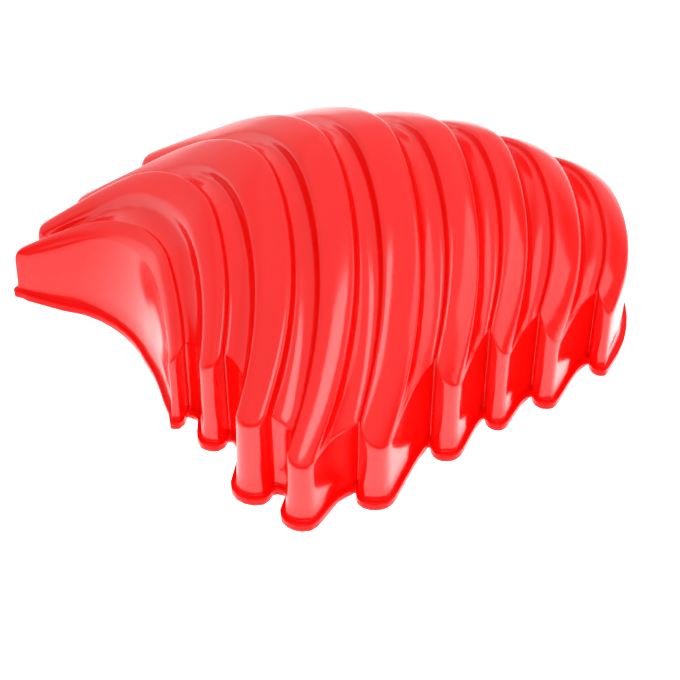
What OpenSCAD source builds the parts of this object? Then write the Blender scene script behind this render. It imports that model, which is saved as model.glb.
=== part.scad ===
// Ribbed sand mould: one thin shell, lying mouth down on its rim
// +Z is up, the ribs lie side by side along X, the near side is -Y, the rim stands on Z = 0

/* [Dome] */
// Length of the spine from the first rib to the last
spine_length = 94; // [70:1:130]
// Height of the tallest rib above the rim
crest_height = 45.5; // [35:0.5:60]
// Furthest reach of a rib end on the near side
near_reach = 54.6; // [45:0.1:75]
// Furthest reach of a rib beyond the ridge on the far side
far_reach = 38; // [30:0.5:46]
// Furthest swing of a rib down and away from the near side on its far half
far_swing = 35; // [26:0.5:42]
// Distance the ridge line drifts to the near side along the spine
ridge_drift = 7.9; // [4:0.1:12]
// Run in which the tallest rib would fall to the rim on the near side
near_fall = 74; // [64:0.5:96]
// Run in which the tallest rib would fall to the rim on the far side
far_fall = 66; // [58:0.5:90]

/* [Ribs] */
// Width of the broadest rib over its walls
rib_width = 8.1; // [6:0.1:10]
// Depth of the grooves below the rib tops
groove_depth = 3; // [1.5:0.1:4]
// Radius of the rounded rib shoulders
shoulder_radius = 1.2; // [0.6:0.1:2]
// Rise of the rib crown above its shoulders
crown_rise = 0.25; // [0:0.05:0.8]
// Rise of the right edge of the first rib above its left edge at the ridge
edge_lift = 2.9; // [0:0.1:5]
// Run of a rib wall from its shoulder to the groove floor
rib_wall_run = 0.5; // [0.2:0.1:1]
// Radius of the widest rib bow in plan on the near side
near_bow = 71; // [64:0.5:110]
// Depth of the rib lobes beyond the groove ends on the far side
far_lobe = 2.5; // [1.5:0.1:4]
// Smallest step from a groove end out to the wall of its rib
lobe_step = 0.3; // [0.2:0.1:1]

/* [Shell] */
// Thickness of the shell
wall = 1.5; // [1:0.1:1.8]
// Radius of the knee where a rib top turns down into the skirt
knee_radius = 2; // [1:0.1:3]
// Radius of the knee on the far side
far_knee_radius = 3; // [1.5:0.1:4]
// Length cut off the far corner of the smooth wall under the first rib
corner_cut = 3; // [1:0.5:8]
// Length of edge over which the outward direction is eased
ease_reach = 6; // [5:0.5:7]
// Outward lean of the skirt for drawing the shell off its core
draft_angle = 2; // [0.5:0.1:4]
// Outward lean of the skirt on the far side
far_draft_angle = 3; // [1:0.5:8]
// Outward lean of the smooth wall under the first rib
end_wall_angle = 7; // [1:0.5:9]

/* [Rim] */
// Width of the rim ledge outside the skirt
rim_width = 1.2; // [0.6:0.1:1.6]
// Thickness of the rim ledge
rim_thickness = 1.8; // [1.2:0.1:3]

/* [Hidden] */
// Places of the ribs along the spine
rib_place_shares = [0, 0.096, 0.214, 0.339, 0.467, 0.604, 0.727, 0.86, 1];
// Widths of the ribs
rib_width_shares = [0.5, 0.64, 0.95, 0.92, 1, 0.86, 0.76, 0.89, 0.83];
// Heights of the ribs
crest_shares = [0.494, 0.722, 0.863, 0.966, 1, 0.954, 0.879, 0.74, 0.559];
// Drift of the ridge at each rib
ridge_shares = [0.18, 0.18, 0.22, 0.38, 0.57, 0.75, 0.87, 0.95, 1];
// Rib ends and groove ends on the near side
near_end_shares = [0.375, 0.53, 0.82, 0.99, 0.994, 0.872, 0.798, 0.76, 0.672];
near_groove_shares = [0.36, 0.58, 0.842, 0.927, 0.835, 0.767, 0.722, 0.632];
// Bow of the ribs in plan on the near side
near_bow_shares = [0.922, 0.76, 0.9, 0.965, 0.975, 0.855, 0.72, 0.613, 0.518];
// Run of the fall on both sides
near_fall_shares = [0.62, 0.685, 0.88, 0.905, 0.875, 0.819, 0.77, 0.761, 0.767];
far_fall_shares = [0.627, 0.631, 0.737, 0.852, 0.957, 1, 0.941, 0.732, 0.726];
// Reach of the ribs on the far side
far_end_shares = [0.855, 0.9, 0.982, 0.911, 0.765, 0.648, 0.6, 0.64, 0.65];
// Swing of the ribs on the far side
far_swing_shares = [0, 0.24, 0.3, 0.61, 0.95, 1, 0.96, 0.64, 0.4];
// Heading of the swing in plan and its fall
swing_heading = 22;
swing_fall = 39;
// Far bow radii as multiples of the far runs
far_bow_shares = [1.08, 1.03, 1.03, 1.03, 1.03, 1.03, 1.03, 1.2, 1.3];
// How sharply the two sides fall away from the ridge
near_fall_power = 1.5;
far_fall_power = 3;
far_power_shares = [1, 1.187, 0.845, 0.863, 0.934, 1, 0.966, 0.836, 0.78];
// Rise of the right rib edges
edge_lift_shares = [1, 0.54, 0.41, 0.32, 0.3, 0.42, 0.33, 0.1, 0];
// Length of a rib nose on the far side
far_nose_share = 0.5;
// Narrowing of a rib toward its far end
far_taper_share = 0.2;
// Lean of a far groove end toward the tip of its longer rib
far_lean_share = 0.25;
// Step along a rib line for taking its direction
way_step_share = 0.01;
// Lean of a groove end toward its longer rib
groove_lean_share = 0.15;
// Largest part of a half width that its shoulder takes
shoulder_share = 0.6;
// Knee radius at the rib walls and at the groove floors
wall_knee_share = 0.15;
floor_knee_share = 0.6;
// Smallest half width of a rib channel inside the shell
channel_half_share = 0.08;

// Height of the crown half way to its shoulder
crown_half_share = 0.75;
// Sharpest mitre at a corner of the edge
mitre_share = 0.6;
// Least length of an eased direction that is drawn out to full length
ease_share = 0.6;
// Angle at which a shoulder is split
shoulder_angle = 45;
// Steepest fall of the skin at its edge
steepest_angle = 75;
// Shortest run over which a fall is taken
least_run = 0.1;
// Shortest length that still has a direction
least_length = 0.000001;

last = len(rib_place_shares) - 1;
near_rows = 10;
far_rows = 8;
row_count = near_rows + far_rows + 1;
knee_steps = 3;
beside_steps = 5;
ease_steps = 12;

function half_width(i, inset) =
    max(rib_width * rib_width_shares[i] / 2 - inset, rib_width * channel_half_share);
function rib_x(i) = spine_length * rib_place_shares[i];
function ridge_y(i) = -ridge_drift * ridge_shares[i];
function crest(i) = crest_height * crest_shares[i];
function tilt(i) =
    let (a = max(i - 1, 0), b = min(i + 1, last))
    (crest(b) - crest(a)) / (rib_x(b) - rib_x(a));
function sag(radius, run) = radius - sqrt(radius * radius - run * run);

// Angle of the rib line to Y at its two ends
function near_angle(i) =
    asin((near_reach * near_end_shares[i] + ridge_y(i)) / (near_bow * near_bow_shares[i]));
function far_run(i) = far_reach * far_end_shares[i];

// Groove ends, leaning from one rib end toward the next
function groove_near(g, side) =
    let (lean = groove_lean_share * (near_end_shares[g + 1] - near_end_shares[g]))
    -near_reach * (near_groove_shares[g] + side * lean);

// A column of the skin: rib, offset from the rib line, drop below the rib top, knee share, foot side
function shoulder_of(h) = min(shoulder_radius, h * shoulder_share);
function shoulder(i, side, inset) =
    let (h = half_width(i, inset), r = shoulder_of(h))
    [[i, side * (h + rib_wall_run), groove_depth, floor_knee_share, side],
     [i, side * h, r, wall_knee_share, 0],
     [i, side * (h - r * (1 - cos(shoulder_angle))), r * (1 - sin(shoulder_angle)),
      (1 + wall_knee_share) / 2, 0],
     [i, side * (h - r), 0, 1, 0],
     [i, side * (h - r) / 2, -crown_rise * crown_half_share, 1, 0]];
function crown(i) = [[i, 0, -crown_rise, 1, 0]];
function edge(i, side, inset) =
    let (h = half_width(i, inset), r = shoulder_of(h))
    [[i, side * (h - r), 0, 1, 0],
     [i, side * (h - r) / 2, -crown_rise * crown_half_share, 1, 0]];
function turned(list) = [for (k = [len(list) - 1:-1:0]) list[k]];
function rib_columns(i, inset) =
    concat(i == 0 ? edge(i, -1, inset) : shoulder(i, -1, inset),
           crown(i),
           turned(i == last ? edge(i, 1, inset) : shoulder(i, 1, inset)));
function columns(inset) = [for (i = [0:last]) each rib_columns(i, inset)];

// Ends of a column: rib ends are half rounds cut square to the rib, groove ends lie behind them
function nose(i, off, angle, inset) =
    let (h = half_width(i, inset), u = min(abs(off) / h, 1))
    h * cos(angle) * cos(angle) * (1 - sqrt(1 - u * u)) - off * sin(angle) * cos(angle);
function near_tip(c, off, inset) =
    -near_reach * near_end_shares[c[0]] + nose(c[0], off, near_angle(c[0]), inset);
function near_end(c, inset) =
    let (i = c[0], h = half_width(i, inset), side = c[4])
    inset + (side == 0 ? near_tip(c, c[1], inset)
                       : max(groove_near(side < 0 ? i - 1 : i, -side),
                             near_tip(c, side * h, inset) + lobe_step));
// The line of a rib on the far side, at share t of its run
function far_swing_at(i, t) = far_swing * far_swing_shares[i] * t * t;
function far_line(i, t) =
    let (run = t * far_run(i), swing = far_swing_at(i, t) * cos(swing_fall))
    [rib_x(i) - sag(far_run(i) * far_bow_shares[i], run) + swing * sin(swing_heading),
     ridge_y(i) + run + swing * cos(swing_heading)];
function far_fall_at(i, t) =
    crest(i) * pow(t * far_run(i) / (far_fall * far_fall_shares[i]), far_fall_power * far_power_shares[i])
        + far_swing_at(i, t) * sin(swing_fall);
function far_way(i, t) = far_line(i, t + way_step_share) - far_line(i, t - way_step_share);
function far_square(i, t) = let (w = unit(far_way(i, t))) [w[1], -w[0]];
function far_pace(i, t) = norm(far_way(i, t)) / (2 * way_step_share);
function far_half(i, t, inset) = half_width(i, inset) * (1 - far_taper_share * t);

// Share of the far run at which a column ends: rib ends are half ovals, groove ends lie behind them
function far_back(i, length) = 1 - length / far_pace(i, 1 - way_step_share);
function far_tip(i, inset) = far_nose_share * half_width(i, inset);
function far_foot(i, inset) = far_back(i, inset + max(far_lobe, far_tip(i, inset) + lobe_step));
function foot_point(i, inset) =
    let (t = far_foot(i, inset))
    far_line(i, t) - (far_half(i, t, inset) + rib_wall_run) * far_square(i, t);
function beside(i, q, t, n) =
    n == 0 ? t : beside(i, q, t + (q - far_line(i, t)) * unit(far_way(i, t)) / far_pace(i, t), n - 1);
function long_foot(i, inset) =
    let (t = beside(i, foot_point(i + 1, inset), far_foot(i, inset), beside_steps), tip = far_foot(i, inset))
    min(tip, t + far_lean_share * (tip - t));
function far_end(c, inset) =
    let (i = c[0], h = half_width(i, inset), u = min(abs(c[1]) / h, 1),
         cut = i == 0 && c[1] < 0 ? corner_cut * u * h / (h - shoulder_of(h)) : 0)
    c[4] < 0 ? far_foot(i, inset)
        : c[4] > 0 ? long_foot(i, inset)
        : far_back(i, inset + far_tip(i, inset) * (1 - sqrt(1 - u * u)) + cut);

// A point of the skin at run v from -1, the near end, over 0, the ridge, to 1, the far end
function lift(c, v, inset) =
    let (u = min(max(c[1] / half_width(c[0], inset), -1), 1), fade = v < 0 ? (1 + v) * (1 + v) : 1 - v * v)
    edge_lift * edge_lift_shares[c[0]] * fade * (1 + u) / 2;
function near_point(c, v, inset) =
    let (i = c[0], run = v * (ridge_y(i) - near_end(c, inset)),
         fall = pow(-run / (near_fall * near_fall_shares[i]), near_fall_power))
    [rib_x(i) + c[1] - sag(near_bow * near_bow_shares[i], run),
     ridge_y(i) + run,
     crest(i) * (1 - fall) + c[1] * tilt(i) + lift(c, v, inset) - c[2] - inset];
function far_point(c, v, inset) =
    let (i = c[0], t = v * far_end(c, inset), off = c[1] * (1 - far_taper_share * t),
         q = far_square(i, t), p = far_line(i, t) + off * q)
    [p[0], p[1], crest(i) - far_fall_at(i, t) + off * q[0] * tilt(i) + lift(c, v, inset) - c[2] - inset];
function row_run(r) = r < near_rows ? r / near_rows - 1 : (r - near_rows) / far_rows;
function skin_point(c, r, inset) =
    row_run(r) < 0 ? near_point(c, row_run(r), inset) : far_point(c, row_run(r), inset);
function skin(cols, inset) = [for (c = cols) [for (r = [0:row_count - 1]) skin_point(c, r, inset)]];

// The edge loop of the skin, counterclockwise from above, as [column, row] pairs
function edge_loop(n) =
    concat([for (k = [0:n - 1]) [k, 0]],
           [for (r = [1:row_count - 1]) [n - 1, r]],
           [for (k = [n - 2:-1:0]) [k, row_count - 1]],
           [for (r = [row_count - 2:-1:1]) [0, r]]);
function flat(p) = [p[0], p[1]];
function unit(v) = v / max(norm(v), least_length);
function outward(a, b) = let (d = unit(b - a)) [d[1], -d[0]];
function mitre(a, b) = (a + b) / max(1 + a * b, mitre_share);
function edge_normals(loop) =
    let (n = len(loop))
    [for (k = [0:n - 1])
        let (p = flat(loop[k]), before = flat(loop[(k + n - 1) % n]), after = flat(loop[(k + 1) % n]))
        mitre(outward(before, p), outward(p, after))];
function eased_normals(loop, normals) =
    let (n = len(loop))
    [for (k = [0:n - 1])
        let (near = [for (j = [-ease_steps:ease_steps]) (k + n + j) % n],
             weights = [for (j = near) norm(flat(loop[(j + 1) % n] - loop[(j + n - 1) % n]))
                 * max(1 - norm(flat(loop[j] - loop[k])) / ease_reach, 0)],
             m = weights * [for (j = near) normals[j]] / (weights * [for (j = near) 1]))
        m / max(norm(m), ease_share)];

// Slope of the skin at an edge point, falling outward
function edge_fall(grid, id, normal) =
    let (k = id[0], r = id[1], inner = r == 0 ? 1 : r == row_count - 1 ? row_count - 2 : r,
         other = r == inner ? (k == 0 ? 1 : k - 1) : k,
         d = grid[k][r] - grid[other][inner],
         run = max(flat(d) * unit(normal), least_run))
    max(min(atan(-d[2] / run), steepest_angle), 0);
function knee_size(cols, id, inset) =
    let (share = id[1] == 0 || id[1] == row_count - 1 ? cols[id[0]][3] : 1,
         radius = id[1] == row_count - 1 ? far_knee_radius : knee_radius)
    max(share * radius - inset, radius * wall_knee_share);
function lean(id) =
    id[0] == 0 ? draft_angle + (end_wall_angle - draft_angle) * min(id[1] / near_rows, 1)
        : id[1] == row_count - 1 ? far_draft_angle : draft_angle;

// Knee points between the skin and the skirt
function knee_loop(loop, normals, falls, sizes, step) =
    [for (k = [0:len(loop) - 1])
        let (f = falls[k], a = (90 - f) * (1 - step / knee_steps), r = sizes[k],
             out = r * (cos(a) - sin(f)), up = r * (sin(a) - cos(f)))
        [loop[k][0] + normals[k][0] * out, loop[k][1] + normals[k][1] * out, loop[k][2] + up]];
function skirt_loop(loop, normals, ids, z) =
    [for (k = [0:len(loop) - 1])
        let (out = (loop[k][2] - z) * tan(lean(ids[k])))
        [loop[k][0] + normals[k][0] * out, loop[k][1] + normals[k][1] * out, z]];
function wider_loop(loop, normals, out, z) =
    [for (k = [0:len(loop) - 1]) [loop[k][0] + normals[k][0] * out, loop[k][1] + normals[k][1] * out, z]];

function quad(a, b, c, d) = [[a, b, c], [a, c, d]];
function flipped(faces) = [for (f = faces) [f[0], f[2], f[1]]];
function skin_faces(n, start) =
    [for (k = [0:n - 2]) for (r = [0:row_count - 2])
        let (a = start + k * row_count + r)
        each quad(a, a + 1, a + row_count + 1, a + row_count)];
function band_faces(upper, lower) =
    let (n = len(upper))
    [for (k = [0:n - 1])
        each quad(upper[k], upper[(k + 1) % n], lower[(k + 1) % n], lower[k])];
function middle_of(list) = (min(list) + max(list)) / 2;
function span(start, n) = [for (k = [0:n - 1]) start + k];

module mould_shell() {
    outer_cols = columns(0);
    inner_cols = columns(wall);
    n = len(outer_cols);
    ids = edge_loop(n);
    m = len(ids);
    outer_grid = skin(outer_cols, 0);
    inner_grid = skin(inner_cols, wall);
    outer_edge = [for (id = ids) outer_grid[id[0]][id[1]]];
    inner_edge = [for (id = ids) inner_grid[id[0]][id[1]]];
    outer_normals = eased_normals(outer_edge, edge_normals(outer_edge));
    inner_normals = eased_normals(inner_edge, edge_normals(inner_edge));
    outer_falls = [for (k = [0:m - 1]) edge_fall(outer_grid, ids[k], outer_normals[k])];
    inner_falls = [for (k = [0:m - 1]) edge_fall(inner_grid, ids[k], inner_normals[k])];
    outer_sizes = [for (id = ids) knee_size(outer_cols, id, 0)];
    inner_sizes = [for (id = ids) knee_size(inner_cols, id, wall)];
    outer_knees = [for (s = [1:knee_steps])
        knee_loop(outer_edge, outer_normals, outer_falls, outer_sizes, s)];
    inner_knees = [for (s = [1:knee_steps])
        knee_loop(inner_edge, inner_normals, inner_falls, inner_sizes, s)];
    skirt_foot = skirt_loop(outer_knees[knee_steps - 1], outer_normals, ids, rim_thickness);
    rim_top = wider_loop(skirt_foot, outer_normals, rim_width, rim_thickness);
    rim_base = wider_loop(skirt_foot, outer_normals, rim_width, 0);
    mouth = skirt_loop(inner_knees[knee_steps - 1], inner_normals, ids, 0);

    outer_loops = concat(outer_knees, [skirt_foot, rim_top, rim_base]);
    inner_loops = concat(inner_knees, [mouth]);
    inner_start = n * row_count;
    loops_start = 2 * inner_start;
    mouth_start = loops_start + m * len(outer_loops);
    outer_ring = [for (id = ids) id[0] * row_count + id[1]];
    inner_ring = [for (id = ids) inner_start + id[0] * row_count + id[1]];
    outer_rings = concat([outer_ring], [for (k = [0:len(outer_loops) - 1]) span(loops_start + k * m, m)]);
    inner_rings = concat([inner_ring], [for (k = [0:len(inner_loops) - 1]) span(mouth_start + k * m, m)]);

    middle = [middle_of([for (p = rim_base) p[0]]), middle_of([for (p = rim_base) p[1]]), 0];
    points = concat([for (c = outer_grid) each c], [for (c = inner_grid) each c],
                    [for (l = outer_loops) each l], [for (l = inner_loops) each l]);
    faces = concat(
        skin_faces(n, 0),
        flipped(skin_faces(n, inner_start)),
        [for (k = [0:len(outer_loops) - 1]) each band_faces(outer_rings[k], outer_rings[k + 1])],
        [for (k = [0:len(inner_loops) - 1]) each flipped(band_faces(inner_rings[k], inner_rings[k + 1]))],
        band_faces(outer_rings[len(outer_loops)], inner_rings[len(inner_loops)]));
    color("red") translate(-middle) polyhedron(points = points, faces = faces, convexity = 10);
}

mould_shell();
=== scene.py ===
import math
import bpy
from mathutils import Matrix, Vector


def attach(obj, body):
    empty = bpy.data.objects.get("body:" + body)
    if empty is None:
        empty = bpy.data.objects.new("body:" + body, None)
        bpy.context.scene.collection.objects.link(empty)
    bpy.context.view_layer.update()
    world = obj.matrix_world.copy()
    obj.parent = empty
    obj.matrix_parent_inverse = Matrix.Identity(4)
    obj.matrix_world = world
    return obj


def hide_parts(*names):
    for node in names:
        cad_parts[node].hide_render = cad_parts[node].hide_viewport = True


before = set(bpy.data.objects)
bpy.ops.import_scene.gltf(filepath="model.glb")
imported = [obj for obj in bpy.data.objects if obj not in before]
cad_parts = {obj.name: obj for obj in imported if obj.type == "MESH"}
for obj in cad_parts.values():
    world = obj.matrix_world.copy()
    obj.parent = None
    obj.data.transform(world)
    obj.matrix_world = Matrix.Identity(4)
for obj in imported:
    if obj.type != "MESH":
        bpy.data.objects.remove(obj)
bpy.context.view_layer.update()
print("frame loaded:", sorted(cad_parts))


def hexColour(text):  # sRGB hex to linear RGBA
    shares = [int(text[i:i + 2], 16) / 255 for i in (1, 3, 5)]
    return [s / 12.92 if s <= 0.04045 else ((s + 0.055) / 1.055) ** 2.4 for s in shares] + [1.0]


def addNode(tree, kind, settings={}, inputs={}):  # a node with its settings, values and links
    node = tree.nodes.new(kind)
    for name, value in settings.items():
        setattr(node, name, value)
    for name, value in inputs.items():
        if isinstance(value, bpy.types.NodeSocket):
            tree.links.new(value, node.inputs[name])
        else:
            node.inputs[name].default_value = value
    return node


def newMaterial(name):
    material = bpy.data.materials.new(name)
    material.use_nodes = True
    material.node_tree.nodes.clear()
    return material


# Polypropylene, injection moulded in a polished tool: a clear even red, a sharp gloss that the
# slow waves of the wall draw out along the ribs, and a little light that comes through the thin skin
plasticLook = {
    "red": "#F20C08", "deepRed": "#E40704", "rimPaintedShadeRed": "#EC0806",
    "cloudSize": 18.0, "waveLength": 26.0, "waveWidth": 3.2, "waveHeight": 0.075,  # mm
    "cloudDetail": 2.0, "cloudGrain": 0.5, "waveDetail": 1.0, "waveGrain": 0.4, "waveStrength": 0.35,
    "roughLow": 0.10, "roughHigh": 0.17, "roughSize": 7.0,  # size in mm
    "roughDetail": 3.0, "roughGrain": 0.6, "roughSpan": (0.3, 0.7),
    "ior": 1.49, "scatter": 0.10, "scatterDepth": 2.0, "scatterReach": (1.0, 0.12, 0.08),  # depth in mm
    "rimTop": 2.5, "rimFade": 0.6,  # mm above the table; below it the red is darkened as painted shade
    "wallGloss": 0.5, "rimGloss": 0.12,  # specular levels
}


def mouldedPlastic(look):
    material = newMaterial("moulded_red_polypropylene")
    tree = material.node_tree
    place = addNode(tree, "ShaderNodeTexCoord").outputs["Object"]
    clouds = addNode(tree, "ShaderNodeTexNoise", {}, {
        "Vector": place, "Scale": 1000 / look["cloudSize"],
        "Detail": look["cloudDetail"], "Roughness": look["cloudGrain"]})
    tint = addNode(tree, "ShaderNodeMix", {"data_type": "RGBA"}, {0: clouds.outputs["Fac"]})
    tint.inputs[6].default_value = hexColour(look["red"])
    tint.inputs[7].default_value = hexColour(look["deepRed"])
    height = addNode(tree, "ShaderNodeSeparateXYZ", {}, {"Vector": place})
    # painted shade mask: 1 on the rim band, fading to 0 above it; it also sets the rim's satin gloss
    rimShadeAndSatin = addNode(tree, "ShaderNodeMapRange", {"interpolation_type": "SMOOTHSTEP"}, {
        "Value": height.outputs["Z"], "From Min": (look["rimTop"] - look["rimFade"]) / 1000,
        "From Max": look["rimTop"] / 1000, "To Min": 1.0, "To Max": 0.0})
    body = addNode(tree, "ShaderNodeMix", {"data_type": "RGBA"}, {
        0: rimShadeAndSatin.outputs["Result"], 6: tint.outputs[2]})
    body.inputs[7].default_value = hexColour(look["rimPaintedShadeRed"])  # painted shade: a deeper red on the rim band stands in for the skirt's shade and red reflection on it
    gloss = addNode(tree, "ShaderNodeMapRange", {}, {  # satin at rim height keeps the rim a deep red
        "Value": rimShadeAndSatin.outputs["Result"], "To Min": look["wallGloss"], "To Max": look["rimGloss"]})
    stretch = [1000 / look[size] for size in ("waveWidth", "waveLength", "waveLength")]
    along = addNode(tree, "ShaderNodeMapping", {}, {"Vector": place, "Scale": stretch})
    waves = addNode(tree, "ShaderNodeTexNoise", {}, {
        "Vector": along.outputs["Vector"], "Scale": 1.0,
        "Detail": look["waveDetail"], "Roughness": look["waveGrain"]})
    bump = addNode(tree, "ShaderNodeBump", {}, {
        "Strength": look["waveStrength"], "Distance": look["waveHeight"] / 1000,
        "Height": waves.outputs["Fac"]})
    scuffs = addNode(tree, "ShaderNodeTexNoise", {}, {
        "Vector": place, "Scale": 1000 / look["roughSize"],
        "Detail": look["roughDetail"], "Roughness": look["roughGrain"]})
    rough = addNode(tree, "ShaderNodeMapRange", {}, {
        "Value": scuffs.outputs["Fac"],
        "From Min": look["roughSpan"][0], "From Max": look["roughSpan"][1],
        "To Min": look["roughLow"], "To Max": look["roughHigh"]})
    plastic = addNode(tree, "ShaderNodeBsdfPrincipled", {}, {
        "Base Color": body.outputs[2], "Roughness": rough.outputs["Result"],
        "Normal": bump.outputs["Normal"], "IOR": look["ior"],
        "Specular IOR Level": gloss.outputs["Result"], "Subsurface Weight": look["scatter"],
        "Subsurface Radius": look["scatterReach"], "Subsurface Scale": look["scatterDepth"] / 1000})
    addNode(tree, "ShaderNodeOutputMaterial", {}, {"Surface": plastic.outputs["BSDF"]})
    return material


# The shell: the solid's skin, rounded along its ribs, lobes and rim
shellShape = {
    "mergeDistance": 0.00002, "quadAngle": 70, "levels": 2,  # m, degrees
    "footCrease": 0.9, "footHeight": 0.0001,  # heights in m
    "rimCrease": 0.55, "rimHeight": 0.0018, "rimBand": 0.0001,
}


def makeShell(shape, material):
    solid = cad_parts["mould_shell"]
    shell = bpy.data.objects.new("mouldShell", solid.data.copy())
    bpy.context.scene.collection.objects.link(shell)
    bpy.ops.object.select_all(action="DESELECT")
    shell.select_set(True)
    bpy.context.view_layer.objects.active = shell
    bpy.ops.object.mode_set(mode="EDIT")
    bpy.ops.mesh.select_mode(type="VERT")
    bpy.ops.mesh.select_all(action="SELECT")
    bpy.ops.mesh.remove_doubles(threshold=shape["mergeDistance"])
    bpy.ops.mesh.customdata_custom_splitnormals_clear()
    bpy.ops.mesh.tris_convert_to_quads(face_threshold=math.radians(shape["quadAngle"]),
                                       shape_threshold=math.radians(shape["quadAngle"]))
    for height, band, crease in ((0.0, shape["footHeight"], shape["footCrease"]),
                                 (shape["rimHeight"], shape["rimBand"], shape["rimCrease"])):
        bpy.ops.mesh.select_all(action="DESELECT")
        bpy.ops.mesh.select_mode(type="EDGE")
        bpy.ops.object.mode_set(mode="OBJECT")
        points = shell.data.vertices
        for edge in shell.data.edges:
            a, b = edge.vertices
            edge.select = all(abs(points[k].co.z - height) < band for k in (a, b))
        bpy.ops.object.mode_set(mode="EDIT")
        bpy.ops.transform.edge_crease(value=crease)
    bpy.ops.object.mode_set(mode="OBJECT")
    subdivision = shell.modifiers.new("roundedSkin", "SUBSURF")
    subdivision.levels = shape["levels"]
    subdivision.render_levels = shape["levels"]
    bpy.ops.object.modifier_apply(modifier=subdivision.name)
    bpy.ops.object.shade_smooth()
    shell.data.materials.clear()
    shell.data.materials.append(material)
    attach(shell, "root")
    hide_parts("mould_shell")
    print("shell:", len(shell.data.vertices), "points", len(shell.data.polygons), "faces")
    return shell


shell = makeShell(shellShape, mouldedPlastic(plasticLook))

# Studio: a white sweep with a painted pool of light glowing beside the part to wash out its shadow, a
# bright far wall and roof, the camera side left dim
studio = {
    "floorSize": 4.0, "floorCuts": 4, "floor": "#FAFAFA", "floorRough": 0.9, "white": "#FFFFFF",
    "patchGlow": 1.5, "sweepGlow": 0.35,
    "patchPlace": (0.02, -0.055, 0.0), "patchCore": 0.08, "patchEdge": 0.14,  # m
    "roof": 1.0, "roofSpan": (0.35, 0.75), "nearWall": 0.25, "farWall": 0.8, "farSpan": (-0.1, 0.5),
}


def makeFloor(studio):
    bpy.ops.object.select_all(action="DESELECT")
    bpy.ops.mesh.primitive_plane_add(size=studio["floorSize"], location=(0, 0, 0))
    floor = bpy.context.object
    floor.name = "paleFloor"
    bpy.ops.object.mode_set(mode="EDIT")
    bpy.ops.mesh.subdivide(number_cuts=studio["floorCuts"])
    bpy.ops.object.mode_set(mode="OBJECT")
    bpy.ops.object.transform_apply(location=True, rotation=True, scale=True)
    material = newMaterial("white_sweep_painted_light_pool")
    tree = material.node_tree
    place = addNode(tree, "ShaderNodeTexCoord").outputs["Object"]
    # painted light: a brighter glowing pool round the part washes out its contact shadow
    reach = addNode(tree, "ShaderNodeVectorMath", {"operation": "DISTANCE"}, {
        0: place, 1: studio["patchPlace"]})
    glow = addNode(tree, "ShaderNodeMapRange", {"interpolation_type": "SMOOTHSTEP"}, {
        "Value": reach.outputs["Value"],
        "From Min": studio["patchCore"], "From Max": studio["patchEdge"],
        "To Min": studio["patchGlow"], "To Max": studio["sweepGlow"]})
    paper = addNode(tree, "ShaderNodeBsdfPrincipled", {}, {
        "Base Color": hexColour(studio["floor"]), "Roughness": studio["floorRough"],
        "Emission Color": hexColour(studio["white"]), "Emission Strength": glow.outputs["Result"]})
    addNode(tree, "ShaderNodeOutputMaterial", {}, {"Surface": paper.outputs["BSDF"]})
    floor.data.materials.append(material)
    return floor


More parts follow.
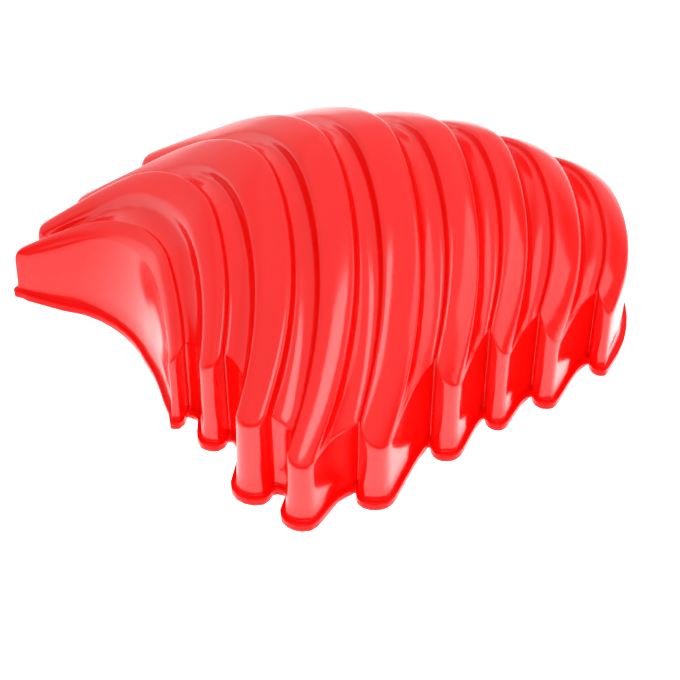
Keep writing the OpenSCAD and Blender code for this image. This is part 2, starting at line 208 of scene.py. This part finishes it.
def makeWorld(studio):
    world = bpy.data.worlds.new("studioSurround")
    world.use_nodes = True
    tree = world.node_tree
    tree.nodes.clear()
    way = addNode(tree, "ShaderNodeTexCoord").outputs["Generated"]
    parts = addNode(tree, "ShaderNodeSeparateXYZ", {}, {"Vector": way})
    rise = addNode(tree, "ShaderNodeMapRange", {"interpolation_type": "SMOOTHSTEP"}, {
        "Value": parts.outputs["Z"],
        "From Min": studio["roofSpan"][0], "From Max": studio["roofSpan"][1],
        "To Min": studio["nearWall"], "To Max": studio["roof"]})
    back = addNode(tree, "ShaderNodeMapRange", {"interpolation_type": "SMOOTHSTEP"}, {
        "Value": parts.outputs["Y"],
        "From Min": studio["farSpan"][0], "From Max": studio["farSpan"][1],
        "To Min": 0.0, "To Max": studio["farWall"]})
    light = addNode(tree, "ShaderNodeMath", {"operation": "MAXIMUM"}, {
        0: rise.outputs["Result"], 1: back.outputs["Result"]})
    glow = addNode(tree, "ShaderNodeBackground", {}, {
        "Color": hexColour(studio["white"]), "Strength": light.outputs["Value"]})
    addNode(tree, "ShaderNodeOutputWorld", {}, {"Surface": glow.outputs["Background"]})
    bpy.context.scene.world = world


lamps = {
    "aim": (0, 0, 0.02),
    "topSoftBox": {"place": (-0.05, -0.25, 0.75), "size": (0.3, 0.26), "power": 1.1, "mirrored": True},
    "rightSoftBox": {"place": (0.56, -0.25, 0.34), "size": (0.34, 0.42), "power": 0.75, "mirrored": True},
    "polarisedKey": {"place": (-0.2, -0.45, 0.6), "size": (0.4, 0.4), "power": 1.0, "mirrored": False},
}  # m, W; crossed filters keep the key's image out of the gloss


def makeLight(name, box, aim):
    data = bpy.data.lights.new(name, "AREA")
    data.shape = "RECTANGLE"
    data.size, data.size_y = box["size"]
    data.energy = box["power"]
    lamp = bpy.data.objects.new(name, data)
    lamp.location = box["place"]
    lamp.rotation_euler = (Vector(aim) - Vector(box["place"])).to_track_quat("-Z", "Y").to_euler()
    lamp.visible_glossy = box["mirrored"]
    bpy.context.scene.collection.objects.link(lamp)


makeFloor(studio)
makeWorld(studio)
for name in ("topSoftBox", "rightSoftBox", "polarisedKey"):
    makeLight(name, lamps[name], lamps["aim"])
print("studio lit")

# Camera at the height and turn of the photograph
view = {
    "azimuth": -22.11, "elevation": 38.992, "place": (-0.083358, -0.206753, 0.174602),  # degrees, m
    "lens": 70.318, "sensor": 36.0, "shift": (0.0029, 0.0), "nearest": 0.01,
}
camera = bpy.data.cameras.new("photoCamera")
camera.lens = view["lens"]
camera.sensor_width = view["sensor"]
camera.sensor_fit = "HORIZONTAL"
camera.clip_start = view["nearest"]
camera.shift_x, camera.shift_y = view["shift"]
eye = bpy.data.objects.new("photoCamera", camera)
eye.location = view["place"]
eye.rotation_euler = (math.radians(90 - view["elevation"]), 0, math.radians(view["azimuth"]))
bpy.context.scene.collection.objects.link(eye)
bpy.context.scene.camera = eye
bpy.context.scene.view_settings.view_transform = "Standard"

bpy.context.view_layer.update()
